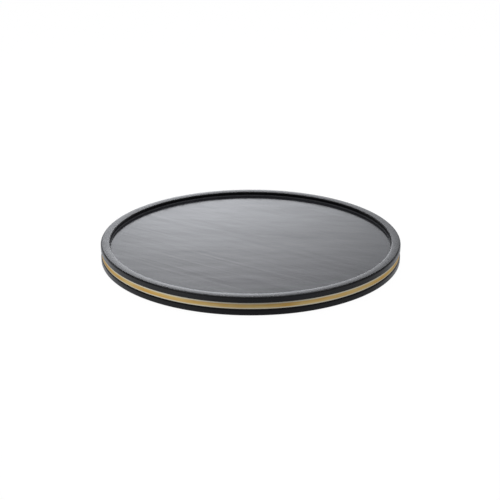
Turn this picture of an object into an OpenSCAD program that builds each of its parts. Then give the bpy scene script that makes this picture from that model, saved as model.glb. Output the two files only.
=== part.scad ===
// Round serving tray: a black wooden tray with a brass band let into its edge.
//
// The tray is a stack. A base board carries a core board, and the brass strip
// wraps the core's edge. The rim ring stands on the core and holds the floor,
// which is a thin panel with a veneer on each face. A cove of sealant closes the
// joint between floor and rim. Screws come up from below, dowels keep the stack
// in line, and low feet stop the tray sliding. Origin: centre of the tray on the
// table, +Z up, with the joint in the brass strip at the back (+Y).

/* [Tray] */
// Outside diameter of the tray
tray_d = 400; // [360:10:480]
// Width of the rim seen from above
rim_w = 12; // [11:0.5:16]
// Depth of the well, from the top of the rim to the floor
well_depth = 5.75; // [4.5:0.25:6]

/* [Edge bands] */
// Height of the black base board
base_h = 8.5; // [8:0.5:12]
// Height of the brass band
band_h = 8; // [7:0.5:12]
// Height of the black rim ring
rim_h = 8; // [8:0.5:10]
// Radius on the outside edges of the two black bands
edge_round = 2; // [1:0.25:2.5]
// Radius on the inside top edge of the rim
lip_round = 1.25; // [0.5:0.25:2]

/* [Brass strip] */
// Thickness of the brass strip at its crown
strip_t = 1.2; // [0.8:0.1:1.6]
// How far the brass sits back from the black bands
strip_recess = 0.8; // [0.4:0.1:1.2]
// How much the face of the brass swells at mid height
strip_crown = 0.25; // [0.1:0.05:0.4]
// Gap between the ends of the strip at the back
strip_gap = 0.3; // [0.2:0.1:1]

/* [Floor] */
// Thickness of each veneer
veneer_t = 0.5; // [0.4:0.1:0.7]
// Width and height of the cove of sealant round the floor
seal_w = 1.2; // [0.8:0.1:1.8]

/* [Fixings] */
// Number of screws that hold the stack together
screw_count = 8; // [6:1:12]
// Number of dowels that keep the stack in line
dowel_count = 4; // [3:1:6]
// Number of feet
foot_count = 6; // [4:1:8]
// Diameter of a foot
foot_d = 20; // [16:1:26]
// How far a foot stands out below the base board
foot_rise = 2; // [1.5:0.5:3]
// Distance of the feet from the centre, as a share of the tray's radius
foot_share = 0.78; // [0.6:0.01:0.82]

/* [Hidden] */

$fn = 180;
eps = 0.5;                 // cutters run this far past the face they cut
gap = 0.1;                 // glue gap between wooden parts
running = 0.05;            // clearance round a screw, a dowel or a pin

tray_r = tray_d / 2;
well_r = tray_r - rim_w;

// Levels, from the table up
base_z = foot_rise;
band_z = base_z + base_h;
rim_z = band_z + band_h;
top_z = rim_z + rim_h;
floor_z = top_z - well_depth;
panel_top_z = floor_z - veneer_t;

// The sealant fills the joint beside the veneer and ends in two thin edges
seal_r = well_r - seal_w;
seal_edge = 0.15;
seal_facet = 22.5;         // the cove turns by this angle from one facet to the next

// The strip wraps the core board with its crown set back from the bands
strip_r = tray_r - strip_recess;
core_r = strip_r - strip_t - gap;
crown_r = (pow(band_h / 2, 2) + pow(strip_crown, 2)) / (2 * strip_crown);
strip_ease = 0.35;
back = 90;                 // bearing of the strip's joint
gap_angle = 2 * asin(strip_gap / 2 / strip_r);

// Screws, 3 mm, countersunk
screw_r = 1.5;
screw_root_r = 1.1;
screw_head_r = 3;
screw_head_h = 1.5;
screw_head_land = 0.2;
screw_tip_l = 2;
screw_plain_l = 1;
thread_pitch = 1.25;
seat_slack = 0.2;          // room round a countersunk head
ring_r = (well_r + core_r) / 2 + 0.5;
stack_sink = 0.3;
screw_engage = 4;
stack_screw_l = base_h + band_h + screw_engage - stack_sink;
slot_w = 0.6;
slot_l = 3.2;
slot_deep = 0.9;

// Dowels run half a board's depth into base and rim
dowel_r = 2;
dowel_bite = 4;
dowel_slack = 0.2;
dowel_chamfer = 0.5;
dowel_turns = [for (i = [0 : dowel_count - 1])
    (floor(i * screw_count / dowel_count) + 0.5) * 360 / screw_count];

// Feet and their screws
foot_let_in = 1;
foot_r = foot_d / 2;
foot_round = 0.8;
foot_ring_r = tray_r * foot_share;
foot_h = foot_rise + foot_let_in;
foot_screw_z = 0.7;
foot_screw_l = 8;

// Brass pins, one each side of the joint
pin_r = 0.7;
pin_head_r = 1.5;
pin_head_h = 0.5;
pin_l = 6;
pin_point_l = 1;
pin_offset = 4;
pin_angle = asin(pin_offset / strip_r);

// ---------- helpers ----------

// Repeats its children count times round a circle, each out on +X before it turns.
module around(count, radius) {
    for (i = [0 : count - 1])
        rotate([0, 0, i * 360 / count]) translate([radius, 0, 0]) children();
}

// Places its children at every dowel, each midway between two screws.
module at_dowels() {
    for (turn = dowel_turns) rotate([0, 0, turn]) translate([ring_r, 0, 0]) children();
}

// Places its children at the face of the strip, out on +X, each side of the joint.
module at_pins() {
    for (side = [-1, 1]) rotate([0, 0, back + side * pin_angle])
        translate([strip_r, 0, band_z + band_h / 2]) children();
}

// Section cutter: what a round of radius r takes off the corner at [x, y].
// dir gives the side of the corner that is outside, as [+-1, +-1].
module corner_cut(x, y, r, dir) {
    difference() {
        translate([x - dir[0] * r, y - dir[1] * r])
            square_towards(dir, r + eps);
        translate([x - dir[0] * r, y - dir[1] * r]) circle(r);
    }
}

// Square of side s that grows from the origin towards dir.
module square_towards(dir, s) {
    translate([dir[0] < 0 ? -s : 0, dir[1] < 0 ? -s : 0]) square(s);
}

// Countersunk wood screw, head down, point up, with its thread as plain rings.
module wood_screw(length) {
    tip_z = length - screw_tip_l;
    turns = floor((tip_z - screw_head_h - screw_plain_l) / thread_pitch);
    thread_z = tip_z - turns * thread_pitch;
    thread = [for (i = [0 : turns - 1]) each [
        [screw_root_r, thread_z + i * thread_pitch],
        [screw_r, thread_z + (i + 0.5) * thread_pitch]]];
    head = [[0, 0], [screw_head_r, 0], [screw_head_r, screw_head_land], [screw_r, screw_head_h]];
    shank = [[screw_r, thread_z - (screw_r - screw_root_r)]];
    point = [[screw_root_r, tip_z], [0, length]];
    difference() {
        rotate_extrude($fn = 32) polygon(concat(head, shank, thread, point));
        for (turn = [0, 90]) rotate([0, 0, turn])
            translate([-slot_l / 2, -slot_w / 2, -eps]) cube([slot_l, slot_w, slot_deep + eps]);
    }
}

// Hole for a screw that starts at z and runs up through height h.
module screw_hole(z, h) {
    translate([0, 0, z]) cylinder(r = screw_r + running, h = h, $fn = 32);
}

// Room for a head at level z: a countersink, and a straight way up to it from below.
module head_seat(z) {
    seat_r = screw_head_r + running + seat_slack;
    translate([0, 0, z])
        cylinder(r1 = seat_r, r2 = screw_r + running, h = screw_head_h + seat_slack, $fn = 32);
    translate([0, 0, -eps]) cylinder(r = seat_r, h = z + eps, $fn = 32);
}

// Blind or through hole for a dowel that starts at z and runs up through height h.
module dowel_hole(z, h) {
    translate([0, 0, z]) cylinder(r = dowel_r + running, h = h, $fn = 32);
}

// Hole for a pin, from outside the strip to a little past the pin's point.
module pin_hole() {
    rotate([0, -90, 0]) translate([0, 0, -eps])
        cylinder(r = pin_r + running, h = pin_l + running + eps, $fn = 24);
}

// ---------- black wood ----------

// Bottom board: a full disc with both outer edges rounded.
module base_board() {
    color("#1d1d20") difference() {
        rotate_extrude() difference() {
            translate([0, base_z]) square([tray_r, base_h]);
            corner_cut(tray_r, base_z, edge_round, [1, -1]);
            corner_cut(tray_r, band_z, edge_round, [1, 1]);
        }
        around(screw_count, ring_r) {
            screw_hole(base_z - eps, base_h + 2 * eps);
            head_seat(base_z + stack_sink);
        }
        at_dowels() dowel_hole(band_z - dowel_bite, dowel_bite + eps);
        around(foot_count, foot_ring_r) {
            translate([0, 0, base_z - eps])
                cylinder(r = foot_r + gap, h = foot_let_in + eps, $fn = 64);
            screw_hole(base_z, foot_screw_z + foot_screw_l - base_z + running);
        }
    }
}

// Top ring: rounded outside, eased at the lip.
module rim_ring() {
    color("#1d1d20") difference() {
        rotate_extrude() difference() {
            translate([well_r, rim_z]) square([rim_w, rim_h]);
            corner_cut(tray_r, rim_z, edge_round / 2, [1, -1]);
            corner_cut(tray_r, top_z, edge_round, [1, 1]);
            corner_cut(well_r, top_z, lip_round, [-1, 1]);
        }
        around(screw_count, ring_r)
            screw_hole(rim_z - eps, screw_engage + eps + running);
        at_dowels() dowel_hole(rim_z - eps, dowel_bite + eps);
    }
}

// ---------- floor ----------

// Cove of black sealant in the corner between floor and rim.
module joint_seal() {
    cove_r = seal_w - seal_edge;
    wall_r = well_r - running;
    cove = [for (turn = [0 : seal_facet : 90])
        [seal_r + cove_r * sin(turn), floor_z + seal_w - cove_r * cos(turn)]];
    back_face = [[wall_r, floor_z + seal_w], [wall_r, panel_top_z], [seal_r, panel_top_z]];
    color("#232326") rotate_extrude() polygon(concat(cove, back_face));
}

// Black-stained face veneer, cut to fit inside the sealant.
module floor_veneer() {
    color("#2b2b2f") translate([0, 0, panel_top_z])
        cylinder(r = seal_r - gap, h = veneer_t);
}

// Thin plywood panel of the floor.
module floor_panel() {
    color("#b08d62") translate([0, 0, rim_z + veneer_t])
        cylinder(r = well_r - gap, h = panel_top_z - rim_z - veneer_t);
}

// Plain veneer under the panel, so that it stays flat.
module balancing_veneer() {
    color("#8a6a48") translate([0, 0, rim_z]) cylinder(r = well_r - gap, h = veneer_t);
}

// ---------- brass edge ----------

// Board behind the brass, with a way through for screws, dowels and pins.
module core_board() {
    color("#9b7b55") difference() {
        translate([0, 0, band_z]) cylinder(r = core_r, h = band_h);
        around(screw_count, ring_r) screw_hole(band_z - eps, band_h + 2 * eps);
        at_dowels() dowel_hole(band_z - eps, band_h + 2 * eps);
        at_pins() pin_hole();
    }
}

// Rolled strip with a slightly swelling face and eased edges, open at the back.
module brass_band() {
    color("#c49a52") difference() {
        rotate([0, 0, back + gap_angle / 2]) rotate_extrude(angle = 360 - gap_angle)
            difference() {
                intersection() {
                    translate([strip_r - strip_t, band_z]) square([strip_t, band_h]);
                    translate([strip_r - crown_r, band_z + band_h / 2]) circle(crown_r);
                }
                for (edge = [[band_z, -1], [rim_z, 1]])
                    corner_cut(strip_r - strip_crown, edge[0], strip_ease, [1, edge[1]]);
            }
        at_pins() pin_hole();
    }
}

// Flat-domed pins, driven in through the ends of the strip.
module band_pins() {
    dome = [[0, pin_head_h], [pin_head_r * 0.6, pin_head_h], [pin_head_r, pin_head_h / 3],
            [pin_head_r, running]];
    shank = [[pin_r, running], [pin_r, pin_point_l - pin_l], [0, -pin_l]];
    color("#b98e46") at_pins() rotate([0, 90, 0])
        rotate_extrude($fn = 24) polygon(concat(dome, shank));
}

// ---------- fixings ----------

// Screws that pull base, core and rim together.
module assembly_screws() {
    color("#8f9196") around(screw_count, ring_r)
        translate([0, 0, base_z + stack_sink]) wood_screw(stack_screw_l);
}

// Dowels with chamfered ends.
module locating_dowels() {
    length = band_h + 2 * dowel_bite - 2 * dowel_slack;
    color("#c8a878") at_dowels()
        translate([0, 0, band_z - dowel_bite + dowel_slack]) rotate_extrude($fn = 32)
            polygon([[0, 0], [dowel_r - dowel_chamfer, 0], [dowel_r, dowel_chamfer],
                     [dowel_r, length - dowel_chamfer], [dowel_r - dowel_chamfer, length],
                     [0, length]]);
}

// Low feet with a rounded tread and a hole for the screw.
module silicone_feet() {
    color("#3a3a3c") around(foot_count, foot_ring_r) difference() {
        rotate_extrude($fn = 64) difference() {
            square([foot_r, foot_h]);
            corner_cut(foot_r, 0, foot_round, [1, -1]);
        }
        screw_hole(-eps, foot_h + 2 * eps);
        head_seat(foot_screw_z);
    }
}

// Screws that hold the feet.
module foot_screws() {
    color("#8f9196") around(foot_count, foot_ring_r)
        translate([0, 0, foot_screw_z]) wood_screw(foot_screw_l);
}

rim_ring();
joint_seal();
floor_veneer();
floor_panel();
balancing_veneer();
core_board();
brass_band();
band_pins();
base_board();
assembly_screws();
locating_dowels();
silicone_feet();
foot_screws();
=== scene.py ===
# %% [markdown]
# # A round serving tray in black wood and brass
#
# The tray is a stack of turned pieces: a base board, a rim ring and a thin floor,
# all of black-stained wood. A brass strip is let in between base and rim. Screws
# come up from below, and six low feet keep the tray from sliding.
#
# Every size comes from the CAD frame, which this script never changes. The CAD
# pieces that can be seen are replaced by finer meshes of the same size, because
# a turned edge only looks right when its rounding is smooth. The pieces inside
# the tray stay as the CAD drew them and only get their wood.

# %% Load the frame
import math

import bmesh
import bpy
from mathutils import Matrix, Vector


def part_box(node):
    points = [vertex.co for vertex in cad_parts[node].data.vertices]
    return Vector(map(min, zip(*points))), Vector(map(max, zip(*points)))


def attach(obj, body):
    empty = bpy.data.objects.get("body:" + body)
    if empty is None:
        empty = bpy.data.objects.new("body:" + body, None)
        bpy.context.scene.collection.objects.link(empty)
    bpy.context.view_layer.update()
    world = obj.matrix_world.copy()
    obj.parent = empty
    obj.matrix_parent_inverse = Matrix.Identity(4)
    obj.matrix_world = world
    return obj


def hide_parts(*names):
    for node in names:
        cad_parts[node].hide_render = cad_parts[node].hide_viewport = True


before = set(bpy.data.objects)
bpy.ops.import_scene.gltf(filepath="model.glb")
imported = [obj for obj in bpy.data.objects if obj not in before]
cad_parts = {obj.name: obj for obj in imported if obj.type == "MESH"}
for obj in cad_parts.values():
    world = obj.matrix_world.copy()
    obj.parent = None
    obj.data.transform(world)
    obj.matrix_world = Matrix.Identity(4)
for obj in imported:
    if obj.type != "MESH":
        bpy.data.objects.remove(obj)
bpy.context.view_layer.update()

MM = 0.001
FULL_TURN = 2 * math.pi
scene = bpy.context.scene

# %% [markdown]
# ## Reading sizes from the frame
#
# A node's box gives its outside size, but a ring also has an inside. So one
# helper measures how near to the axis and how far from it a node's points lie
# between two levels. Roundings can be read the same way: the flat top of the
# rim is narrower than the rim itself by exactly the two roundings.

# %% Measure the turned pieces
def heights(node):
    """Lowest and highest level of a CAD node."""
    low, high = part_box(node)
    return low.z, high.z


def radii(node, level=None):
    """Smallest and largest radius of a CAD node's points, on one level if it is given."""
    points = [v.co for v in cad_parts[node].data.vertices]
    if level is not None:
        points = [p for p in points if abs(p.z - level) < 0.01 * MM]
    found = [math.hypot(p.x, p.y) for p in points]
    return min(found), max(found)


BASE_LOW, BASE_HIGH = heights("base_board")
RIM_LOW, RIM_HIGH = heights("rim_ring")
PANEL_TOP, FLOOR_TOP = heights("floor_veneer")
WELL_R, TRAY_R = radii("rim_ring")
LIP = radii("rim_ring", RIM_HIGH)[0] - WELL_R
EDGE = TRAY_R - radii("rim_ring", RIM_HIGH)[1]
SMALL_EDGE = TRAY_R - radii("rim_ring", RIM_LOW)[1]
print(f"tray radius {TRAY_R / MM:.1f} mm, well {WELL_R / MM:.1f} mm, roundings"
      f" {EDGE / MM:.2f}, {SMALL_EDGE / MM:.2f} and {LIP / MM:.2f} mm")

# %% [markdown]
# Screws, feet, dowels and pins stand in rings. Sorting a node's points by their
# bearing and splitting the list at its gaps tells where each one stands, so the
# visual screws land exactly where the CAD ones are.

# %% Measure what stands in a ring
def stations(node):
    """(bearing, ring radius, half width) of each separate piece of a node, by bearing."""
    points = sorted((math.atan2(v.co.y, v.co.x) % FULL_TURN, math.hypot(v.co.x, v.co.y))
                    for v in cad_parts[node].data.vertices)
    groups = [[points[0]]]
    for point in points[1:]:
        if point[0] - groups[-1][-1][0] > math.radians(1):
            groups.append([])
        groups[-1].append(point)
    if points[0][0] + FULL_TURN - points[-1][0] < math.radians(1):
        groups[0] = [(a - FULL_TURN, r) for a, r in groups.pop()] + groups[0]
    found = []
    for group in groups:
        angles, distances = zip(*group)
        found.append(((min(angles) + max(angles)) / 2, (min(distances) + max(distances)) / 2,
                      (max(distances) - min(distances)) / 2))
    return found


for ring in ("silicone_feet", "assembly_screws", "foot_screws", "band_pins"):
    print(ring, [f"{math.degrees(a):.1f}" for a, _, _ in stations(ring)])

# %% [markdown]
# ## The camera
#
# A small object looks right through a long lens. The camera looks down a little
# over twenty degrees and stands eight tray radii away, so the far edge is almost
# as wide as the near one. A slight shift sets the tray in the picture.

# %% Place the camera
CAMERA_DISTANCE = 8 * TRAY_R
CAMERA_ELEVATION = math.radians(21.77)

camera_data = bpy.data.cameras.new("camera")
camera_data.lens = 85.36
camera_data.sensor_width = 36
camera_data.shift_x = -0.00132
camera_data.shift_y = 0.00776
camera = bpy.data.objects.new("camera", camera_data)
scene.collection.objects.link(camera)
camera.location = (0, -CAMERA_DISTANCE * math.cos(CAMERA_ELEVATION),
                   BASE_LOW + CAMERA_DISTANCE * math.sin(CAMERA_ELEVATION))
camera.rotation_euler = (math.pi / 2 - CAMERA_ELEVATION, 0, 0)
scene.camera = camera
print("camera at", [round(v, 3) for v in camera.location])

# %% [markdown]
# ## Helpers for node trees
#
# Materials, the sky and the Geometry Nodes below are all trees of nodes. One
# helper adds a node and fills its inputs, each with a plain value or with a link
# from another node's output, which keeps the recipes short.

# %% A helper that places a node
def place(tree, kind, inputs=None, **settings):
    """Adds a node to a tree. Each input gets a value, or a link if it is given a socket."""
    node = tree.nodes.new(kind)
    for key, value in settings.items():
        setattr(node, key, value)
    for key, value in (inputs or {}).items():
        if isinstance(value, bpy.types.NodeSocket):
            tree.links.new(value, node.inputs[key])
        else:
            node.inputs[key].default_value = value
    return node


def maths(tree, operation, *values):
    """A Math node's output; each value is a number or a socket."""
    return place(tree, "ShaderNodeMath", dict(enumerate(values)), operation=operation).outputs[0]


def spread(tree, value, low, high, start=0.0, end=1.0, smooth=False):
    """Carries a value from the range start to end over to the range low to high."""
    kind = "SMOOTHSTEP" if smooth else "LINEAR"
    inputs = {"Value": value, "From Min": start, "From Max": end, "To Min": low, "To Max": high}
    return place(tree, "ShaderNodeMapRange", inputs, interpolation_type=kind).outputs["Result"]


def blend(tree, amount, first, second):
    """Mixes two colours; each is a triple or a socket."""
    mix = place(tree, "ShaderNodeMix", {0: amount}, data_type="RGBA")
    for socket, colour in ((mix.inputs[6], first), (mix.inputs[7], second)):
        if isinstance(colour, bpy.types.NodeSocket):
            tree.links.new(colour, socket)
        else:
            socket.default_value = (*colour, 1)
    return mix.outputs[2]


print("helpers ready: place, maths, spread, blend")

# %% [markdown]
# ## Wood that runs through the piece
#
# Grain is a pattern in space and not on the surface: where a turned edge cuts
# along the fibres it shows long lines, and where it cuts across them it shows
# short flecks. So every wood here is solid noise in Object coordinates. The
# Mapping node, in its Texture mode, first turns the pattern and then stretches
# it, and its scale is simply the length and width of one streak in metres.

# %% Helpers for grain
def stretched(tree, turn, length, width, height=None):
    """Object coordinates turned about the vertical and stretched along the grain."""
    where = place(tree, "ShaderNodeTexCoord").outputs["Object"]
    size = (length, width, height or width)
    return place(tree, "ShaderNodeMapping", {"Vector": where, "Rotation": (0, 0, turn), "Scale": size},
                 vector_type="TEXTURE").outputs["Vector"]


def noise(tree, vector, detail=3.0, roughness=0.55, distortion=0.0):
    """Soft solid noise from 0 to 1, one unit across."""
    return place(tree, "ShaderNodeTexNoise", {
        "Vector": vector, "Scale": 1.0, "Detail": detail, "Roughness": roughness,
        "Distortion": distortion}).outputs["Fac"]


def new_finish(name, **sockets):
    """A material with its shader, whose plain values are set on the shader itself."""
    material = bpy.data.materials.new(name)
    material.use_nodes = True
    shader = material.node_tree.nodes["Principled BSDF"]
    for key, value in sockets.items():
        shader.inputs[key.replace("_", " ").capitalize() if key != "ior" else "IOR"].default_value = value
    return material, material.node_tree, shader


def raise_by(tree, shader, height, distance, strength=1.0, below=None):
    """Adds a bump of that height in metres; below is a bump that it lies on."""
    inputs = {"Height": height, "Distance": distance, "Strength": strength}
    if below is not None:
        inputs["Normal"] = below
    normal = place(tree, "ShaderNodeBump", inputs).outputs["Normal"]
    tree.links.new(normal, shader.inputs["Normal"])
    return normal


print("helpers ready: stretched, noise, new_finish, raise_by")

# %% [markdown]
# ## Edges that hands have rubbed
#
# A tray is carried by its rim, so the lacquer is polished along the edges and
# the stain is a touch thinner there. The mask needs no painting: it is the
# distance in the section, radius and height, from the edge to the point, broken
# up by a little noise.

# %% A mask for rubbed edges
def rubbed(tree, radius, level, reach):
    """1 on the circular edge at that radius and level, fading to 0 at reach."""
    where = place(tree, "ShaderNodeTexCoord").outputs["Object"]
    part = place(tree, "ShaderNodeSeparateXYZ", {"Vector": where})
    flat = place(tree, "ShaderNodeCombineXYZ", {"X": part.outputs["X"], "Y": part.outputs["Y"]})
    out = place(tree, "ShaderNodeVectorMath", {0: flat.outputs[0]}, operation="LENGTH").outputs["Value"]
    section = place(tree, "ShaderNodeCombineXYZ", {
        "X": maths(tree, "SUBTRACT", out, radius),
        "Y": maths(tree, "SUBTRACT", part.outputs["Z"], level)})
    away = place(tree, "ShaderNodeVectorMath", {0: section.outputs[0]}, operation="LENGTH").outputs["Value"]
    broken = noise(tree, stretched(tree, 0, 6 * MM, 6 * MM), detail=4)
    near = spread(tree, away, 1.0, 0.0, 0.0, reach, smooth=True)
    return maths(tree, "MULTIPLY", near, spread(tree, broken, 0.0, 1.0, 0.35, 0.7))


print("helper ready: rubbed")

# %% [markdown]
# ## Black-stained wood
#
# The stain is almost black and very even, and a satin lacquer lies over it. Two
# noises make the figure: broad streaks that shift the colour and the sheen, and
# fine fibres that the lacquer has not quite filled, which go into the bump. The
# base has a thinner coat than the rim, so it gets a lower index of refraction.

# %% Black wood of the rim and the base
GRAIN_TURN = math.radians(-35)


def black_wood(name, turn, edges, ior):
    """Black-stained wood; edges lists the radius, level and reach of each rubbed edge."""
    finish, tree, shader = new_finish(name, ior=ior)
    figure = noise(tree, stretched(tree, turn, 140 * MM, 9 * MM), detail=4, distortion=0.4)
    fibres = noise(tree, stretched(tree, turn, 14 * MM, 0.5 * MM), detail=3)
    pores = noise(tree, stretched(tree, turn, 5 * MM, 0.22 * MM), detail=1)
    stain = blend(tree, figure, (0.0065, 0.0065, 0.0078), (0.0125, 0.0122, 0.0142))
    stain = blend(tree, spread(tree, fibres, 0.0, 0.45), stain, (0.0190, 0.0180, 0.0195))
    worn = None
    for radius, level, reach in edges:
        mask = rubbed(tree, radius, level, reach)
        worn = mask if worn is None else maths(tree, "MAXIMUM", worn, mask)
    colour = blend(tree, maths(tree, "MULTIPLY", worn, 0.55), stain, (0.040, 0.036, 0.034))
    tree.links.new(colour, shader.inputs["Base Color"])
    sheen = maths(tree, "ADD", spread(tree, figure, 0.25, 0.31, 0.3, 0.7), spread(tree, fibres, -0.03, 0.03))
    sheen = maths(tree, "SUBTRACT", sheen, maths(tree, "MULTIPLY", worn, 0.07))
    tree.links.new(sheen, shader.inputs["Roughness"])
    lacquer = noise(tree, stretched(tree, 0, 2.5 * MM, 2.5 * MM), detail=1)
    skin = raise_by(tree, shader, lacquer, 0.012 * MM)
    open_grain = spread(tree, maths(tree, "ADD", fibres, pores), 0, 1, 0.5, 1.5)
    raise_by(tree, shader, open_grain, 0.02 * MM, below=skin)
    return finish


RIM_WOOD = black_wood("black_wood_rim", GRAIN_TURN, [
    (TRAY_R, RIM_HIGH, 3.5 * MM), (WELL_R, RIM_HIGH, 2.5 * MM)], ior=1.50)
BASE_WOOD = black_wood("black_wood_base", math.radians(20), [
    (TRAY_R, BASE_LOW, 3.5 * MM), (TRAY_R, BASE_HIGH, 2.0 * MM)], ior=1.40)
print("finishes:", RIM_WOOD.name, BASE_WOOD.name)

# %% [markdown]
# ## The floor's veneer
#
# The floor is the smoothest surface of the tray: a flat veneer under several
# coats, so smooth that it mirrors the rim's wall. Long soft streaks run across
# it on the slant. They change the colour a little and the sheen more, as sanded
# and lacquered fibres do. Three shallow bumps lie on each other, broad, wide and
# fine, because a hand-rubbed sheet is never quite flat and the light shows it.

# %% Black veneer of the floor
def black_veneer(name):
    finish, tree, shader = new_finish(name, ior=1.5)
    streaks = noise(tree, stretched(tree, GRAIN_TURN, 260 * MM, 16 * MM), detail=5, distortion=0.6)
    lines = noise(tree, stretched(tree, GRAIN_TURN, 90 * MM, 3.5 * MM), detail=4)
    fibres = noise(tree, stretched(tree, GRAIN_TURN, 12 * MM, 0.5 * MM), detail=2)
    haze = noise(tree, stretched(tree, math.radians(-8), 130 * MM, 55 * MM), detail=2.5)
    stain = blend(tree, spread(tree, streaks, 0, 1, 0.3, 0.7), (0.016, 0.016, 0.018), (0.036, 0.036, 0.040))
    stain = blend(tree, spread(tree, lines, 0.0, 0.5), stain, (0.045, 0.045, 0.049))
    stain = blend(tree, spread(tree, haze, 0.0, 0.35), stain, (0.042, 0.042, 0.047))
    tree.links.new(stain, shader.inputs["Base Color"])
    sheen = maths(tree, "ADD", spread(tree, streaks, 0.13, 0.21, 0.3, 0.7),
                  spread(tree, haze, -0.025, 0.025, 0.3, 0.7))
    sheen = maths(tree, "ADD", sheen, spread(tree, fibres, -0.02, 0.02))
    tree.links.new(sheen, shader.inputs["Roughness"])
    broad = raise_by(tree, shader, haze, 0.26 * MM)
    wide = raise_by(tree, shader, streaks, 0.08 * MM, below=broad)
    soft = raise_by(tree, shader, lines, 0.02 * MM, below=wide)
    raise_by(tree, shader, fibres, 0.004 * MM, below=soft)
    return finish


FLOOR_VENEER = black_veneer("black_veneer_floor")
print("finish:", FLOOR_VENEER.name)

# %% [markdown]
# ## Brushed brass
#
# The strip was brushed along its length before it was bent round the tray. The
# brush lines follow the circle and are fine from top to bottom. Noise that is
# wide across the tray but thin in height gives lines that run round the edge,
# with no seam anywhere. Broader patches of amber and pale gold show how the
# metal has toned under its lacquer. Along its two edges the brass is painted
# pale, a painted highlight for the line of light that each eased edge catches.

# %% Brass of the strip and the pins
# Where the pale painted highlight on the strip's edges begins and where it is full, as distances from the
# edges.
HIGHLIGHT_FROM, HIGHLIGHT_FULL = 2.2 * MM, 1.1 * MM    # distances from the edges of the strip


def brushed_brass(name, run=45 * MM, edges=None):
    """Brass brushed round the tray; edges are the levels of the strip's top and bottom, towards which a pale
    painted highlight goes into the colour.
    """
    finish, tree, shader = new_finish(name, metallic=1.0)
    shader.inputs["Anisotropic"].default_value = 0.35
    shader.inputs["Specular Tint"].default_value = (0.50, 0.47, 0.45, 1)    # duller at a flat angle
    around = place(tree, "ShaderNodeTangent", direction_type="RADIAL", axis="Z").outputs["Tangent"]
    tree.links.new(around, shader.inputs["Tangent"])
    lines = noise(tree, stretched(tree, 0, run, run, 0.12 * MM), detail=3)
    bands = noise(tree, stretched(tree, 0, run, run, 0.9 * MM), detail=2)
    patches = noise(tree, stretched(tree, 0, 0.8 * run, 0.8 * run, 4 * MM), detail=3)
    spots = noise(tree, stretched(tree, 0, 1.2 * MM, 1.2 * MM), detail=2)
    tone = blend(tree, spread(tree, patches, 0, 1, 0.3, 0.7), (0.86, 0.48, 0.100), (1.0, 0.76, 0.310))
    tone = blend(tree, spread(tree, bands, 0.0, 0.35, 0.35, 0.75), tone, (0.95, 0.75, 0.45))
    # Painted highlight: the colour turns pale towards both edges of the strip, for the light that the eased
    # edges catch.
    if edges:
        where = place(tree, "ShaderNodeTexCoord").outputs["Object"]
        height = place(tree, "ShaderNodeSeparateXYZ", {"Vector": where}).outputs["Z"]
        middle, half = (edges[0] + edges[1]) / 2, (edges[1] - edges[0]) / 2
        away = maths(tree, "ABSOLUTE", maths(tree, "SUBTRACT", height, middle))
        painted_highlight = spread(tree, away, 0.0, 0.95, half - HIGHLIGHT_FROM, half - HIGHLIGHT_FULL, smooth=True)
        tone = blend(tree, painted_highlight, tone, (1.0, 0.93, 0.72))
    tone = blend(tree, spread(tree, spots, 0.0, 0.35, 0.68, 0.85), tone, (0.42, 0.24, 0.10))
    tree.links.new(tone, shader.inputs["Base Color"])
    sheen = maths(tree, "ADD", spread(tree, patches, 0.30, 0.40), spread(tree, lines, -0.07, 0.07))
    tree.links.new(sheen, shader.inputs["Roughness"])
    raise_by(tree, shader, maths(tree, "ADD", lines, bands), 0.004 * MM)
    return finish


STRIP_BRASS = brushed_brass("brushed_brass_strip", edges=heights("brass_band"))
PIN_BRASS = brushed_brass("brushed_brass_pins", run=1.5 * MM)
print("finishes:", STRIP_BRASS.name, PIN_BRASS.name)

# %% [markdown]
# ## Sealant, silicone and steel
#
# The cove of sealant round the floor was smoothed with a finger, so it has long
# shallow ripples. The feet are moulded silicone: matt, with a fine grain that
# comes from the mould and dust in its hollows. The screws are plain stainless
# steel, with rings from the lathe on their heads.

# %% Small finishes
def smooth_sealant():
    finish, tree, shader = new_finish("black_sealant", ior=1.45)
    ripples = noise(tree, stretched(tree, 0, 14 * MM, 14 * MM, 3 * MM), detail=2)
    tree.links.new(blend(tree, ripples, (0.045, 0.045, 0.050), (0.085, 0.085, 0.092)),
                   shader.inputs["Base Color"])
    tree.links.new(spread(tree, ripples, 0.38, 0.50), shader.inputs["Roughness"])
    raise_by(tree, shader, ripples, 0.05 * MM)
    return finish


def moulded_silicone():
    finish, tree, shader = new_finish("matt_silicone", ior=1.41)
    grain = noise(tree, stretched(tree, 0, 0.35 * MM, 0.35 * MM), detail=2)
    dust = noise(tree, stretched(tree, 0, 7 * MM, 7 * MM), detail=4)
    tone = blend(tree, spread(tree, dust, 0.0, 0.8, 0.4, 0.8), (0.026, 0.026, 0.028), (0.075, 0.072, 0.068))
    tree.links.new(tone, shader.inputs["Base Color"])
    tree.links.new(spread(tree, dust, 0.55, 0.75), shader.inputs["Roughness"])
    raise_by(tree, shader, grain, 0.03 * MM)
    return finish


def screw_steel():
    finish, tree, shader = new_finish("plain_screw_steel", metallic=1.0)
    marks = noise(tree, stretched(tree, 0, 0.9 * MM, 0.9 * MM, 0.12 * MM), detail=3)
    tone = noise(tree, stretched(tree, 0, 2 * MM, 2 * MM), detail=2)
    tree.links.new(blend(tree, tone, (0.40, 0.41, 0.43), (0.60, 0.61, 0.62)), shader.inputs["Base Color"])
    tree.links.new(spread(tree, marks, 0.22, 0.42), shader.inputs["Roughness"])
    raise_by(tree, shader, marks, 0.006 * MM)
    return finish


SEALANT, SILICONE, STEEL = smooth_sealant(), moulded_silicone(), screw_steel()
print("finishes:", SEALANT.name, SILICONE.name, STEEL.name)

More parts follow.
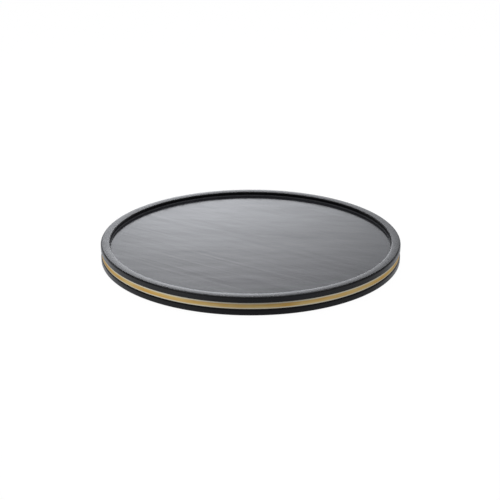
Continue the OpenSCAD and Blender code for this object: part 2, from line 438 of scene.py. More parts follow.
# %% [markdown]
# ## Pale woods inside the tray
#
# The floor panel and the core board are birch plywood, whose thin layers turn
# their grain a quarter from one to the next and show as stripes on the edge. The
# balancing veneer is plain unfinished wood, and the dowels are beech with its
# short dark flecks. Only somebody who takes the tray apart sees them.

# %% Plywood, plain veneer and beech
def birch_plywood(name, ply):
    finish, tree, shader = new_finish(name, ior=1.45)
    where = place(tree, "ShaderNodeTexCoord").outputs["Object"]
    height = place(tree, "ShaderNodeSeparateXYZ", {"Vector": where}).outputs["Z"]
    layer = maths(tree, "GREATER_THAN", maths(tree, "FRACT", maths(tree, "DIVIDE", height, 2 * ply)), 0.5)
    along = noise(tree, stretched(tree, GRAIN_TURN, 60 * MM, 1.2 * MM), detail=4)
    across = noise(tree, stretched(tree, GRAIN_TURN + math.pi / 2, 60 * MM, 1.2 * MM), detail=4)
    grain = maths(tree, "ADD", maths(tree, "MULTIPLY", along, layer),
                  maths(tree, "MULTIPLY", across, maths(tree, "SUBTRACT", 1.0, layer)))
    tone = blend(tree, spread(tree, grain, 0, 1, 0.3, 0.7), (0.44, 0.30, 0.17), (0.62, 0.47, 0.30))
    tone = blend(tree, maths(tree, "MULTIPLY", layer, 0.35), tone, (0.36, 0.24, 0.13))
    tree.links.new(tone, shader.inputs["Base Color"])
    tree.links.new(spread(tree, grain, 0.55, 0.75), shader.inputs["Roughness"])
    raise_by(tree, shader, grain, 0.03 * MM)
    return finish


def pale_wood(name, dark, light, turn, length, width):
    finish, tree, shader = new_finish(name, ior=1.45)
    grain = noise(tree, stretched(tree, turn, length, width), detail=4, distortion=0.3)
    flecks = noise(tree, stretched(tree, turn, length / 12, width / 4), detail=1)
    tone = blend(tree, spread(tree, grain, 0, 1, 0.3, 0.7), dark, light)
    tone = blend(tree, spread(tree, flecks, 0.0, 0.6, 0.62, 0.7), tone, [0.45 * v for v in dark])
    tree.links.new(tone, shader.inputs["Base Color"])
    tree.links.new(spread(tree, grain, 0.5, 0.7), shader.inputs["Roughness"])
    raise_by(tree, shader, grain, 0.03 * MM)
    return finish


INSIDE = {
    "floor_panel": birch_plywood("birch_plywood_floor", 0.58 * MM),
    "core_board": birch_plywood("birch_plywood_core", 1.1 * MM),
    "balancing_veneer": pale_wood("plain_veneer_wood", (0.30, 0.20, 0.11), (0.46, 0.33, 0.20),
                                  GRAIN_TURN, 110 * MM, 2.5 * MM),
    "locating_dowels": pale_wood("beech_dowel_wood", (0.50, 0.33, 0.19), (0.68, 0.50, 0.32),
                                 0, 6 * MM, 0.8 * MM)}
for node, finish in INSIDE.items():
    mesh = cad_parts[node].data
    for i in range(max(1, len(mesh.materials))):
        if i < len(mesh.materials):
            mesh.materials[i] = finish
        else:
            mesh.materials.append(finish)
    print(node, "gets", finish.name)

# %% [markdown]
# ## Turning a piece
#
# The rim, the boards, the strip, the cove, the feet and the pins have the same
# section all the way round, as if they had come off a lathe. One Geometry Nodes
# tree makes them all: it carries an outline round an arc and welds the seam. A
# lathe made with the Screw modifier would do too, but the tree keeps its sizes
# as named inputs and can stop short of a full turn, which the strip needs.

# %% A tree that turns an outline
def new_tree(name, inputs):
    """A Geometry Nodes tree with geometry in and out and one named input for each (name, type)."""
    tree = bpy.data.node_groups.new(name, "GeometryNodeTree")
    tree.interface.new_socket("Geometry", in_out="INPUT", socket_type="NodeSocketGeometry")
    for label, kind in inputs:
        tree.interface.new_socket(label, in_out="INPUT", socket_type="NodeSocket" + kind)
    tree.interface.new_socket("Geometry", in_out="OUTPUT", socket_type="NodeSocketGeometry")
    return tree, place(tree, "NodeGroupInput").outputs


def end_tree(tree, geometry, material):
    """Ends a tree as the frame needs it: instances made real, and the finish set."""
    real = place(tree, "GeometryNodeRealizeInstances", {"Geometry": geometry})
    paint = place(tree, "GeometryNodeSetMaterial", {"Geometry": real.outputs[0], "Material": material})
    place(tree, "NodeGroupOutput", {"Geometry": paint.outputs[0]})
    return tree


def turning_tree():
    tree, given = new_tree("turned_piece", [
        ("Path radius", "Float"), ("Steps", "Int"), ("Open", "Bool"), ("Start", "Float"),
        ("Turn", "Float"), ("Material", "Material")])
    circle = place(tree, "GeometryNodeCurvePrimitiveCircle", {
        "Resolution": given["Steps"], "Radius": given["Path radius"]})
    arc = place(tree, "GeometryNodeCurveArc", {
        "Resolution": given["Steps"], "Radius": given["Path radius"],
        "Start Angle": given["Start"], "Sweep Angle": given["Turn"]})
    path = place(tree, "GeometryNodeSwitch", {
        "Switch": given["Open"], "False": circle.outputs["Curve"], "True": arc.outputs["Curve"]})
    swept = place(tree, "GeometryNodeCurveToMesh", {
        "Curve": path.outputs[0], "Profile Curve": given["Geometry"], "Fill Caps": given["Open"]})
    weld = place(tree, "GeometryNodeMergeByDistance", {"Geometry": swept.outputs["Mesh"], "Distance": 2e-6})
    return end_tree(tree, weld.outputs[0], given["Material"])


TURNING = turning_tree()
print("tree:", TURNING.name, "with", len(TURNING.nodes), "nodes")

# %% [markdown]
# ## From modifier to mesh
#
# The frame takes plain meshes only, so each result is copied out of its modifier
# and the helper object is thrown away. Edges sharper than about thirty degrees
# stay crisp, and everything gentler is shaded as one smooth surface.

# %% Helpers that run a tree
CRISP_ABOVE = math.radians(32)


def run_tree(tree, helper, name, values):
    """Runs a tree on a helper object and keeps the result as a plain mesh object."""
    modifier = helper.modifiers.new("tree", "NODES")
    modifier.node_group = tree
    for item in tree.interface.items_tree:
        if item.item_type == "SOCKET" and item.in_out == "INPUT" and item.name in values:
            modifier[item.identifier] = values[item.name]
    bpy.context.view_layer.update()
    graph = bpy.context.evaluated_depsgraph_get()
    mesh = bpy.data.meshes.new_from_object(helper.evaluated_get(graph), depsgraph=graph)
    mesh.name = name
    bpy.data.objects.remove(helper)
    mesh.shade_smooth()
    mesh.set_sharp_from_angle(angle=CRISP_ABOVE)
    piece = bpy.data.objects.new(name, mesh)
    scene.collection.objects.link(piece)
    return piece


def outline_curve(points, path_radius, closed):
    """A flat curve through (radius, height) points, measured from the path it will follow."""
    curve = bpy.data.curves.new("outline", "CURVE")
    curve.dimensions = "2D"
    spline = curve.splines.new("POLY")
    spline.points.add(len(points) - 1)
    for point, (radius, height) in zip(spline.points, points):
        point.co = (radius - path_radius, -height, 0, 1)
    spline.use_cyclic_u = closed
    helper = bpy.data.objects.new("outline", curve)
    scene.collection.objects.link(helper)
    return helper


def close_flat(piece):
    """Closes the open rings of a disc, top and bottom, each with one flat face."""
    bm = bmesh.new()
    bm.from_mesh(piece.data)
    bmesh.ops.holes_fill(bm, edges=[e for e in bm.edges if e.is_boundary], sides=0)
    bmesh.ops.recalc_face_normals(bm, faces=bm.faces)
    for face in bm.faces:
        face.smooth = True
    bm.to_mesh(piece.data)
    bm.free()
    piece.data.set_sharp_from_angle(angle=CRISP_ABOVE)
    return piece


def turned(name, points, material, steps=360, disc=False, start=0.0, turn=FULL_TURN):
    """Turns a clockwise outline about the axis. A disc's is open, and so is one on the axis."""
    path_radius = max(p[0] for p in points)
    ring = not disc and min(p[0] for p in points) > 0
    piece = run_tree(TURNING, outline_curve(points, path_radius, ring), name, {
        "Path radius": path_radius, "Steps": steps, "Open": turn < FULL_TURN, "Start": start,
        "Turn": turn, "Material": material})
    return piece if ring else close_flat(piece)


print("helpers ready: run_tree, turned")

# %% [markdown]
# ## Rounded outlines
#
# Corners are given as radius, height and rounding. Each rounding becomes a short
# arc, with one more point just past each of its ends on the flat. Those extra
# points matter: smooth shading blends across a whole face, and without them the
# flat top of the rim would be shaded as if it were bowed.

# %% A helper that rounds an outline
GUARD = 0.25 * MM


def rounded(corners, steps=6):
    """Rounds a clockwise outline. Each corner is (radius, height, rounding)."""
    points = []
    count = len(corners)
    for i, (x, y, r) in enumerate(corners):
        corner = Vector((x, y))
        if r <= 0:
            points.append((x, y))
            continue
        to_last = (Vector(corners[i - 1][:2]) - corner).normalized()
        to_next = (Vector(corners[(i + 1) % count][:2]) - corner).normalized()
        half = to_last.angle(to_next) / 2
        setback = r / math.tan(half)
        centre = corner + (to_last + to_next).normalized() * (r / math.sin(half))
        begin = corner + to_last * setback - centre
        sweep = begin.angle_signed(corner + to_next * setback - centre)
        points.append(tuple(corner + to_last * (setback + GUARD)))
        for k in range(steps + 1):
            spoke = begin.copy()
            spoke.rotate(Matrix.Rotation(-sweep * k / steps, 2))
            points.append(tuple(centre + spoke))
        points.append(tuple(corner + to_next * (setback + GUARD)))
    return points


print("a rounded corner has", len(rounded([(0, 0, 0), (0, 1, 0), (1, 1, 0.1), (1, 0, 0)])) - 3, "points")

# %% [markdown]
# ## Repeating round a circle
#
# Feet, screws and pins, and the holes they sit in, all stand in rings. A second
# tree sets copies of one piece on a ring of points. Each copy is turned to face
# outwards, and a tilt lays the pins on their side.

# %% A tree that repeats a piece round a circle
def ring_tree():
    tree, given = new_tree("ring_of_pieces", [
        ("Count", "Int"), ("Ring radius", "Float"), ("Level", "Float"), ("First bearing", "Float"),
        ("Step", "Float"), ("Tilt", "Float"), ("Material", "Material")])
    index = place(tree, "GeometryNodeInputIndex").outputs[0]
    bearing = maths(tree, "MULTIPLY_ADD", index, given["Step"], given["First bearing"])
    spot = place(tree, "ShaderNodeCombineXYZ", {
        "X": maths(tree, "MULTIPLY", maths(tree, "COSINE", bearing), given["Ring radius"]),
        "Y": maths(tree, "MULTIPLY", maths(tree, "SINE", bearing), given["Ring radius"]),
        "Z": given["Level"]})
    points = place(tree, "GeometryNodePoints", {"Count": given["Count"], "Position": spot.outputs[0]})
    angles = place(tree, "ShaderNodeCombineXYZ", {"Y": given["Tilt"], "Z": bearing})
    facing = place(tree, "FunctionNodeEulerToRotation", {"Euler": angles.outputs[0]})
    copies = place(tree, "GeometryNodeInstanceOnPoints", {
        "Points": points.outputs[0], "Instance": given["Geometry"], "Rotation": facing.outputs[0]})
    return end_tree(tree, copies.outputs[0], given["Material"])


RING = ring_tree()


def ringed(name, piece, node, level, material, tilt=0.0, ring_radius=None):
    """Repeats a piece at every station of a CAD node, and uses the piece up."""
    found = stations(node)
    step = found[1][0] - found[0][0]
    return run_tree(RING, piece, name, {
        "Count": len(found), "Ring radius": ring_radius or found[0][1], "Level": level,
        "First bearing": found[0][0], "Step": step, "Tilt": tilt, "Material": material})


print("tree:", RING.name, "with", len(RING.nodes), "nodes")

# %% [markdown]
# ## Drilling
#
# Holes are cut as in the workshop: the finished board is made first, and then a
# ring of cutters is taken out of it. The third tree holds a Mesh Boolean, which
# is exact where the cutter crosses the board and leaves the rest untouched.

# %% A tree that takes cutters out of a piece
def drilling_tree():
    tree, given = new_tree("drilled_piece", [("Cutters", "Object"), ("Material", "Material")])
    cutters = place(tree, "GeometryNodeObjectInfo", {"Object": given["Cutters"]})
    cut = place(tree, "GeometryNodeMeshBoolean", operation="DIFFERENCE", solver="MANIFOLD")
    tree.links.new(given["Geometry"], cut.inputs["Mesh 1"])
    tree.links.new(cutters.outputs["Geometry"], cut.inputs["Mesh 2"])
    return end_tree(tree, cut.outputs["Mesh"], given["Material"])


DRILLING = drilling_tree()


def drilled(piece, cutters, material):
    """Takes each cutter out of the piece in turn, and throws the cutters away."""
    name = piece.name
    for cutter in cutters:
        piece.name = name + "_uncut"
        piece = run_tree(DRILLING, piece, name, {"Cutters": cutter, "Material": material})
        bpy.data.objects.remove(cutter)
    return piece


def plug(radius, height, steps=32):
    """A straight round cutter that stands on the origin."""
    return turned("plug", [(0, height), (radius, height), (radius, 0), (0, 0)], None, steps)


def hole(name, node, low, high, radius, steps=32):
    """A ring of straight round cutters, one at each station of a CAD node."""
    return ringed(name, plug(radius, high - low, steps), node, low, None)


print("tree:", DRILLING.name, "with", len(DRILLING.nodes), "nodes")

# %% [markdown]
# ## The rim
#
# The rim is a plain ring with a generous rounding on its outer top edge, where
# the light catches it, a smaller one at the lip of the well and a slight one
# below, where it meets the brass. Sanding has also left its top very slightly
# domed and leaning towards the well, by a quarter of a millimetre at most, which
# no hand would feel but every reflection shows. Screws and dowels enter it from
# below.

# %% Turn and drill the rim
RIM_DOME = 0.10 * MM     # how much the top falls in half its width away from its highest circle
RIM_PEAK = 0.50          # that circle's place, from 0 at the middle of the top to 1 at its outside
LEEWAY = 0.5 * MM        # cutters run this far past the face that they cut
DOWEL_ROOM = 0.2 * MM    # glue room past each end of a dowel
DRILL_FIT = 0.05 * MM    # a hole is this much wider than what it holds
SCREW_R = 1.5 * MM
SCREW_TOP = heights("assembly_screws")[1]
DOWEL_R = stations("locating_dowels")[0][2]
DOWEL_LOW, DOWEL_HIGH = heights("locating_dowels")


def dowel_holes(low, high):
    """Cutters for the dowels, which don't all stand at the same step round the ring."""
    holes = []
    for i, (bearing, ring_radius, _) in enumerate(stations("locating_dowels")):
        holes.append(run_tree(RING, plug(DOWEL_R + DRILL_FIT, high - low), f"dowel_hole_{i}", {
            "Count": 1, "Ring radius": ring_radius, "Level": low, "First bearing": bearing,
            "Step": 0.0, "Tilt": 0.0, "Material": None}))
    return holes


dome_low, dome_high = WELL_R + LIP + GUARD, TRAY_R - EDGE - GUARD
dome_middle, dome_half = (dome_low + dome_high) / 2, (dome_high - dome_low) / 2
dome_points = [(dome_low + (dome_high - dome_low) * k / 10, RIM_HIGH, 0) for k in range(1, 10)]


def domed(radius, height):
    """Lowers the rim's top by a hair, more towards the well than towards the outside."""
    if height < RIM_HIGH - EDGE:
        return radius, height
    along = max(-1.0, min(1.0, (radius - dome_middle) / dome_half))
    return radius, height - RIM_DOME * (along - RIM_PEAK) ** 2


rim = turned("rim_blank", [domed(*point) for point in rounded([
    (WELL_R, RIM_HIGH, LIP), *dome_points, (TRAY_R, RIM_HIGH, EDGE), (TRAY_R, RIM_LOW, SMALL_EDGE),
    (WELL_R, RIM_LOW, 0)], steps=8)], RIM_WOOD)
rim.name = "black_rim"
rim = drilled(rim, [
    hole("screw_holes", "assembly_screws", RIM_LOW - LEEWAY, SCREW_TOP + DRILL_FIT, SCREW_R + DRILL_FIT),
    *dowel_holes(RIM_LOW - LEEWAY, DOWEL_HIGH + DOWEL_ROOM)], RIM_WOOD)
print(rim.name, "has", len(rim.data.vertices), "points")

# %% [markdown]
# ## The base board
#
# The base is a full disc, rounded above and below. It is turned as an open
# outline that stops well before the centre, and the two rings left open are
# closed with one flat face each: a fan of needles meeting at the axis would
# show as a star in the lacquer. Then come the recesses for the feet, the
# countersinks and the holes.

# %% Turn and drill the base board
HUB = 20 * MM
SINK = heights("assembly_screws")[0] - BASE_LOW
HEAD_R = stations("assembly_screws")[0][2]
HEAD_H = 1.5 * MM
SEAT_SLACK = 0.2 * MM
SEAT_WIDE = HEAD_R + DRILL_FIT + SEAT_SLACK    # radii of a seat at the head's face and at its neck
SEAT_NARROW = SCREW_R + DRILL_FIT
FOOT_TOP = heights("silicone_feet")[1]
FOOT_R = stations("silicone_feet")[0][2]
FOOT_SCREW_LOW, FOOT_SCREW_TOP = heights("foot_screws")


def head_seats(name, node, level, below):
    """Cutters for countersunk heads: a cone at the head and a straight way up to it."""
    cone = level - below
    top = cone + HEAD_H + SEAT_SLACK
    seat = turned("seat", [(0, top + LEEWAY), (SEAT_NARROW, top + LEEWAY), (SEAT_NARROW, top),
                           (SEAT_WIDE, cone), (SEAT_WIDE, 0), (0, 0)], None, 48)
    return ringed(name, seat, node, below, None)


base = turned("black_base", rounded([
    (HUB, BASE_HIGH, 0), (TRAY_R, BASE_HIGH, EDGE), (TRAY_R, BASE_LOW, EDGE), (HUB, BASE_LOW, 0)],
    steps=8), BASE_WOOD, disc=True)
base = drilled(base, [
    hole("screw_ways", "assembly_screws", BASE_LOW - LEEWAY, BASE_HIGH + LEEWAY, SCREW_R + DRILL_FIT),
    head_seats("stack_seats", "assembly_screws", BASE_LOW + SINK, BASE_LOW - LEEWAY),
    hole("foot_beds", "silicone_feet", BASE_LOW - LEEWAY, FOOT_TOP, FOOT_R + 2 * DRILL_FIT, steps=72),
    hole("foot_screw_ways", "foot_screws", BASE_LOW - LEEWAY, FOOT_SCREW_TOP + DRILL_FIT,
         SCREW_R + DRILL_FIT),
    *dowel_holes(DOWEL_LOW - DOWEL_ROOM, BASE_HIGH + LEEWAY)], BASE_WOOD)
print(base.name, "has", len(base.data.vertices), "points")

# %% [markdown]
# ## The floor and its sealant
#
# The floor is a thin disc with a barely eased edge. The cove is the slim ring
# that closes the joint: its hollow face catches a thread of light all round the
# foot of the wall.

# %% Turn the floor and the cove
SEAL_R, SEAL_OUT = radii("joint_seal")
SEAL_LOW, SEAL_HIGH = heights("joint_seal")
FLOOR_R = radii("floor_veneer")[1]
SEAL_LIP = max(v.co.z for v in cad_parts["joint_seal"].data.vertices
               if math.hypot(v.co.x, v.co.y) < SEAL_R + 0.01 * MM)

floor_disc = turned("black_floor", rounded([
    (HUB, FLOOR_TOP, 0), (FLOOR_R, FLOOR_TOP, 0.05 * MM), (FLOOR_R, PANEL_TOP, 0), (HUB, PANEL_TOP, 0)],
    steps=3), FLOOR_VENEER, disc=True)

cove_r = SEAL_HIGH - SEAL_LIP
cove = [(SEAL_R + cove_r * math.sin(math.radians(a)), SEAL_HIGH - cove_r * math.cos(math.radians(a)))
        for a in range(0, 91, 9)]
seal = turned("sealant_cove", cove + [(SEAL_OUT, SEAL_HIGH), (SEAL_OUT, SEAL_LOW), (SEAL_R, SEAL_LOW)],
              SEALANT)
print(floor_disc.name, len(floor_disc.data.vertices), "points;", seal.name, f"cove of {cove_r / MM:.2f} mm")

# %% [markdown]
# ## The brass strip and its pins
#
# The strip's face swells slightly between two eased edges, so it draws a line of
# light along each edge and never looks like painted tape. It is turned a hair
# less than a full circle, as the real one is bent round and cut to length, and
# its two ends meet at the back. A flat-domed pin holds each end.

# %% Turn the strip and drive its pins
STRIP_IN, STRIP_OUT = radii("brass_band")
STRIP_LOW, STRIP_HIGH = heights("brass_band")
STRIP_MIDDLE = (STRIP_LOW + STRIP_HIGH) / 2
CROWN = 0.25 * MM
STRIP_EASE = 0.35 * MM
STRIP_GAP = 0.3 * MM
PIN_R = 0.7 * MM


def strip_face(steps=10):
    """The swelling face from top to bottom, with a rounded edge at each end."""
    half = (STRIP_HIGH - STRIP_LOW) / 2
    edge_r = STRIP_OUT - CROWN
    points = []
    for k in range(7):
        a = math.radians(90 * k / 6)
        points.append((edge_r - STRIP_EASE * (1 - math.sin(a)), half - STRIP_EASE * (1 - math.cos(a))))
    for k in range(1, 2 * steps):
        h = (half - STRIP_EASE) * (1 - k / steps)
        points.append((edge_r + CROWN * (1 - (h / (half - STRIP_EASE)) ** 2), h))
    lower = [(r, -h) for r, h in reversed(points[:7])]
    return [(r, STRIP_MIDDLE + h) for r, h in points + lower]


gap_turn = STRIP_GAP / STRIP_OUT
strip = turned("brass_strip", [(STRIP_IN, STRIP_HIGH)] + strip_face() + [(STRIP_IN, STRIP_LOW)],
               STRIP_BRASS, start=math.pi / 2 + gap_turn / 2, turn=FULL_TURN - gap_turn)

pins = stations("band_pins")
pin_top = max(math.hypot(v.co.x, v.co.y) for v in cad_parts["band_pins"].data.vertices) - STRIP_OUT
pin_head = (heights("band_pins")[1] - heights("band_pins")[0]) / 2
pin_long = 6 * MM
dome = [(pin_head * math.sin(math.radians(a)), pin_top * (0.45 + 0.55 * math.cos(math.radians(a))))
        for a in range(0, 91, 10)]
pin = turned("pin", dome + [(pin_head, DRILL_FIT), (PIN_R, DRILL_FIT), (PIN_R, MM - pin_long),
                            (0, -pin_long)], PIN_BRASS, steps=40)
brass_pins = ringed("brass_pins", pin, "band_pins", STRIP_MIDDLE, PIN_BRASS, math.pi / 2, STRIP_OUT)
pin_way = turned("pin_way", [(0, MM), (PIN_R + DRILL_FIT, MM), (PIN_R + DRILL_FIT, -2 * MM), (0, -2 * MM)],
                 None, 32)
pin_ways = ringed("pin_ways", pin_way, "band_pins", STRIP_MIDDLE, None, math.pi / 2, STRIP_OUT)
strip = drilled(strip, [pin_ways], STRIP_BRASS)
print(strip.name, len(strip.data.vertices), "points;", len(pins), "pins at",
      [round(math.degrees(a), 1) for a, _, _ in pins])

# %% [markdown]
# ## The feet
#
# Each foot is a low silicone button, let a millimetre into the base so that it
# can't slide off. Its tread is rounded at the edge and has two shallow grooves,
# which let it sit flat and keep its grip on a damp counter.

# %% Turn the feet
FOOT_ROUND = 0.8 * MM
GROOVE = 0.25 * MM
foot_edge = rounded([(FOOT_R, FOOT_TOP, 0.15 * MM), (FOOT_R, 0, FOOT_ROUND), (0, 0, 0),
                     (0, FOOT_TOP, 0)], steps=5)[:-2]
tread = []
for middle in (0.74 * FOOT_R, 0.54 * FOOT_R):
    tread += [(middle + 0.4 * MM, 0), (middle + 0.25 * MM, GROOVE), (middle - 0.25 * MM, GROOVE),
              (middle - 0.4 * MM, 0)]
foot = turned("foot", [(SEAT_NARROW, FOOT_TOP)] + foot_edge + tread + [
    (SEAT_WIDE, 0), (SEAT_WIDE, FOOT_SCREW_LOW), (SEAT_NARROW, FOOT_SCREW_LOW + HEAD_H + SEAT_SLACK)],
    SILICONE, steps=72)
feet = ringed("soft_feet", foot, "silicone_feet", 0.0, SILICONE)
print(feet.name, len(feet.data.vertices), "points")

# %% [markdown]
# ## Countersunk screws
#
# A screw thread is a rule: the radius rises and falls with the height, and the
# whole wave slides up by one pitch in a turn. So the screw is a stack of rings
# whose points follow that rule, closed by a point at each end. The cross recess
# is cut out afterwards with two wedges, narrower at the bottom than at the top.

# %% Shape a screw
ROOT_R = 1.1 * MM
PITCH = 1.25 * MM


def screw_radius(height, turn, length):
    """Radius of a wood screw at a height above its head's face and at an angle."""
    if height <= HEAD_H:
        land = 0.2 * MM
        return HEAD_R - max(0.0, height - land) / (HEAD_H - land) * (HEAD_R - SCREW_R)
    if height <= HEAD_H + MM:
        return SCREW_R
    tip = 2.5 * MM
    core = ROOT_R * min(1.0, max(0.0, (length - height) / tip) ** 0.7)
    grown = min(1.0, (height - HEAD_H - MM) / PITCH) * min(1.0, max(0.0, (length - height) / tip))
    wave = (height / PITCH - turn / FULL_TURN) % 1.0
    return core + (SCREW_R - ROOT_R) * grown * max(0.0, 1 - abs(2 * wave - 1) * 1.5)


def screw(name, length, columns=28, rows_per_pitch=8):
    """A closed wood screw, head down on the origin and point up."""
    levels = [0.0, 0.2 * MM, 0.6 * MM, 1.0 * MM, HEAD_H, HEAD_H + MM]
    count = int((length - levels[-1]) / PITCH * rows_per_pitch)
    levels += [levels[-1] + (length - levels[-1]) * (k + 1) / (count + 1) for k in range(count)]
    bm = bmesh.new()
    rows = []
    for z in levels:
        row = []
        for c in range(columns):
            a = FULL_TURN * c / columns
            r = screw_radius(z, a, length)
            row.append(bm.verts.new((r * math.cos(a), r * math.sin(a), z)))
        rows.append(row)
    for lower, upper in zip(rows, rows[1:]):
        for c in range(columns):
            d = (c + 1) % columns
            bm.faces.new((lower[c], lower[d], upper[d], upper[c]))
    point = bm.verts.new((0, 0, length))
    for c in range(columns):
        bm.faces.new((rows[-1][c], rows[-1][(c + 1) % columns], point))
    bm.faces.new(list(reversed(rows[0])))
    mesh = bpy.data.meshes.new(name)
    bm.to_mesh(mesh)
    bm.free()
    piece = bpy.data.objects.new(name, mesh)
    scene.collection.objects.link(piece)
    return piece


def recess_wedge(turn):
    """One arm of the cross recess: long and wide at the face, shorter and slimmer inside."""
    bm = bmesh.new()
    corners = []
    for half_long, half_wide, z in ((1.65 * MM, 0.34 * MM, -LEEWAY), (0.9 * MM, 0.22 * MM, 0.95 * MM)):
        outline = ((-half_long, -half_wide), (half_long, -half_wide),
                   (half_long, half_wide), (-half_long, half_wide))
        corners.append([bm.verts.new(Matrix.Rotation(turn, 4, "Z") @ Vector((x, y, z)))
                        for x, y in outline])
    low, high = corners
    bm.faces.new(list(reversed(low)))
    bm.faces.new(high)
    for i in range(4):
        j = (i + 1) % 4
        bm.faces.new((low[i], low[j], high[j], high[i]))
    mesh = bpy.data.meshes.new("wedge")
    bm.to_mesh(mesh)
    bm.free()
    wedge = bpy.data.objects.new("wedge", mesh)
    scene.collection.objects.link(wedge)
    return wedge


def screw_set(name, node):
    """A ring of screws as long as the node's, each with its cross recess."""
    low, high = heights(node)
    single = drilled(screw(name + "_single", high - low),
                     [recess_wedge(0), recess_wedge(math.pi / 2)], STEEL)
    return ringed(name, single, node, low, STEEL)


stack_screws = screw_set("stack_screws", "assembly_screws")
tread_screws = screw_set("tread_screws", "foot_screws")
print(stack_screws.name, len(stack_screws.data.vertices), "points;",
      tread_screws.name, len(tread_screws.data.vertices), "points")

# %% [markdown]
# ## Handing the pieces to the frame
#
# Each new piece stands for one CAD node, which is hidden, and rides on the tray's
# only body. The table also lists the finish slot that each piece takes, which
# nothing here reads. Before that, every piece is tested: the script prints whether it is closed, and its
# volume, which is positive when its faces point outwards.

# %% Test the pieces and put them on the body
def tested(piece):
    """Says whether a piece is closed and turned the right way out."""
    bm = bmesh.new()
    bm.from_mesh(piece.data)
    bm.normal_update()
    closed = all(e.is_manifold for e in bm.edges)
    volume = bm.calc_volume(signed=True)
    triangles = sum(len(f.verts) - 2 for f in bm.faces)
    bm.free()
    return f"closed {closed}, {volume * 1e9:.0f} cubic mm, {triangles} triangles"


PIECES = [
    (rim, "rim_ring", "black_wood"), (base, "base_board", "black_wood"),
    (floor_disc, "floor_veneer", "black_veneer"), (seal, "joint_seal", "black_seal"),
    (strip, "brass_band", "brushed_brass"), (brass_pins, "band_pins", "brushed_brass"),
    (feet, "silicone_feet", "silicone"), (stack_screws, "assembly_screws", "screw_steel"),
    (tread_screws, "foot_screws", "screw_steel")]
for piece, node, finish_slot in PIECES:
    print(f"{piece.name}: {tested(piece)}")
    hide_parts(node)
    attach(piece, "root")

# %% [markdown]
# ## Where the tray stands
#
# The floor is plain and white. Towards the camera it glows evenly, with only a
# trace of ordinary shading that darkens where the tray comes close. It is kept
# out of reflections, because what the tray mirrors is set by the sky below, and
# it can be seen through from underneath, so that the feet can be looked at.

# %% Lay the floor
def white_ground():
    finish = bpy.data.materials.new("white_ground")
    finish.use_nodes = True
    tree = finish.node_tree
    tree.nodes.clear()
    glow = place(tree, "ShaderNodeEmission", {"Color": (1, 1, 1, 1), "Strength": 0.985})
    matt = place(tree, "ShaderNodeBsdfDiffuse", {"Color": (0.05, 0.05, 0.05, 1)})
    both = place(tree, "ShaderNodeAddShader", {0: glow.outputs[0], 1: matt.outputs[0]})
    clear = place(tree, "ShaderNodeBsdfTransparent")
    below = place(tree, "ShaderNodeNewGeometry").outputs["Backfacing"]
    shown = place(tree, "ShaderNodeMixShader", {0: below, 1: both.outputs[0], 2: clear.outputs[0]})
    place(tree, "ShaderNodeOutputMaterial", {"Surface": shown.outputs[0]})
    return finish


bpy.ops.mesh.primitive_plane_add(size=20)
ground = bpy.context.object
ground.name = "ground"
ground.data.materials.append(white_ground())
for ray in ("visible_diffuse", "visible_glossy", "visible_transmission", "visible_shadow"):
    setattr(ground, ray, False)

# %% [markdown]
# ## A studio to be mirrored
#
# Black lacquer has almost no colour of its own: what it shows is the studio. So
# the studio is built as a sky of soft gradients. Below the horizon lies the
# table, dim in front of the tray and brighter beyond it. Above it, behind the
# tray, stands a bright backdrop that fades upwards and to both sides, faster to
# the right, and the room behind the camera is nearly dark. One large soft panel
# hangs overhead. The camera itself sees plain white instead of this sky.

# %% Light the studio
TABLE_FRONT, TABLE_MIDDLE, TABLE_BACK = 0.24, 0.50, 0.26
ROOM_FRONT, ROOM_TOP = 0.06, 0.35
BACKDROP_LOW, BACKDROP_HIGH, BACKDROP_SIDES = 4.65, 0.22, 0.12
COOL = (0.965, 0.985, 1.035)


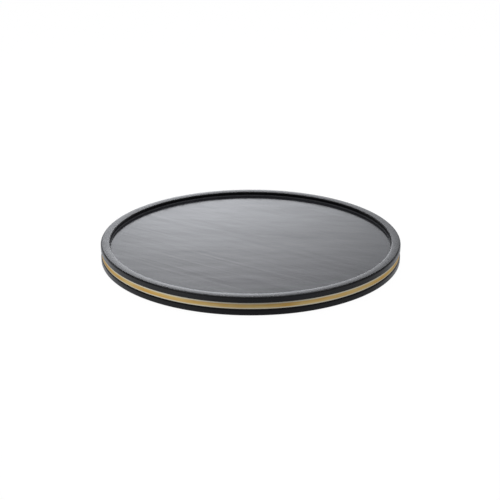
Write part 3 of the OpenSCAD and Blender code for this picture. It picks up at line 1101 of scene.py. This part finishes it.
def studio_sky():
    world = bpy.data.worlds.new("studio")
    world.use_nodes = True
    tree = world.node_tree
    tree.nodes.clear()
    direction = place(tree, "ShaderNodeTexCoord").outputs["Generated"]
    x, y, z = place(tree, "ShaderNodeSeparateXYZ", {"Vector": direction}).outputs
    far = maths(tree, "POWER", spread(tree, y, 0.0, 1.0, 0.15, 0.75), 2.0)
    near = spread(tree, y, TABLE_FRONT, TABLE_MIDDLE, -0.95, -0.60)
    table = maths(tree, "MULTIPLY_ADD", x, -0.10, maths(tree, "MULTIPLY_ADD", far, TABLE_BACK, near))
    left = spread(tree, x, BACKDROP_SIDES, 1.0, -0.30, -0.03, smooth=True)
    right = spread(tree, x, 1.12, BACKDROP_SIDES, -0.10, 0.27, smooth=True)
    backdrop = maths(tree, "MULTIPLY", spread(tree, z, BACKDROP_LOW, BACKDROP_HIGH, 0.17, 0.51, smooth=True),
                     maths(tree, "MULTIPLY", left, right))
    room = spread(tree, z, ROOM_FRONT, ROOM_TOP, 0.2, 1.0)
    behind = spread(tree, y, 0.0, 1.0, 0.0, 0.6, smooth=True)
    above = spread(tree, z, 0.0, 1.0, -0.04, 0.10, smooth=True)
    upper = maths(tree, "ADD", maths(tree, "MULTIPLY", backdrop, behind),
                  maths(tree, "MULTIPLY", room, maths(tree, "SUBTRACT", 1.0, behind)))
    level = maths(tree, "ADD", maths(tree, "MULTIPLY", table, maths(tree, "SUBTRACT", 1.0, above)),
                  maths(tree, "MULTIPLY", upper, above))
    mirrored = place(tree, "ShaderNodeBackground", {"Color": (*COOL, 1), "Strength": level})
    plain = place(tree, "ShaderNodeBackground", {"Color": (1, 1, 1, 1), "Strength": 1.0})
    seen = place(tree, "ShaderNodeLightPath").outputs["Is Camera Ray"]
    shown = place(tree, "ShaderNodeMixShader", {0: seen, 1: mirrored.outputs[0], 2: plain.outputs[0]})
    place(tree, "ShaderNodeOutputWorld", {"Surface": shown.outputs[0]})
    return world


def soft_panel(name, middle, target, width, height, radiance):
    """A rectangular lamp of that brightness, turned towards a target."""
    lamp = bpy.data.lights.new(name, "AREA")
    lamp.shape = "RECTANGLE"
    lamp.size, lamp.size_y = width, height
    lamp.energy = radiance * math.pi * width * height
    lamp.color = COOL
    panel = bpy.data.objects.new(name, lamp)
    scene.collection.objects.link(panel)
    panel.location = middle
    panel.rotation_euler = (Vector(target) - Vector(middle)).to_track_quat("-Z", "Y").to_euler()
    panel.visible_camera = False
    return panel


scene.world = studio_sky()
soft_panel("panel_overhead", (0.0, 0.35, 1.5), (0.0, 0.0, 0.0), 1.6, 1.2, 1.3)
scene.view_settings.view_transform = "Standard"
print("studio lit")
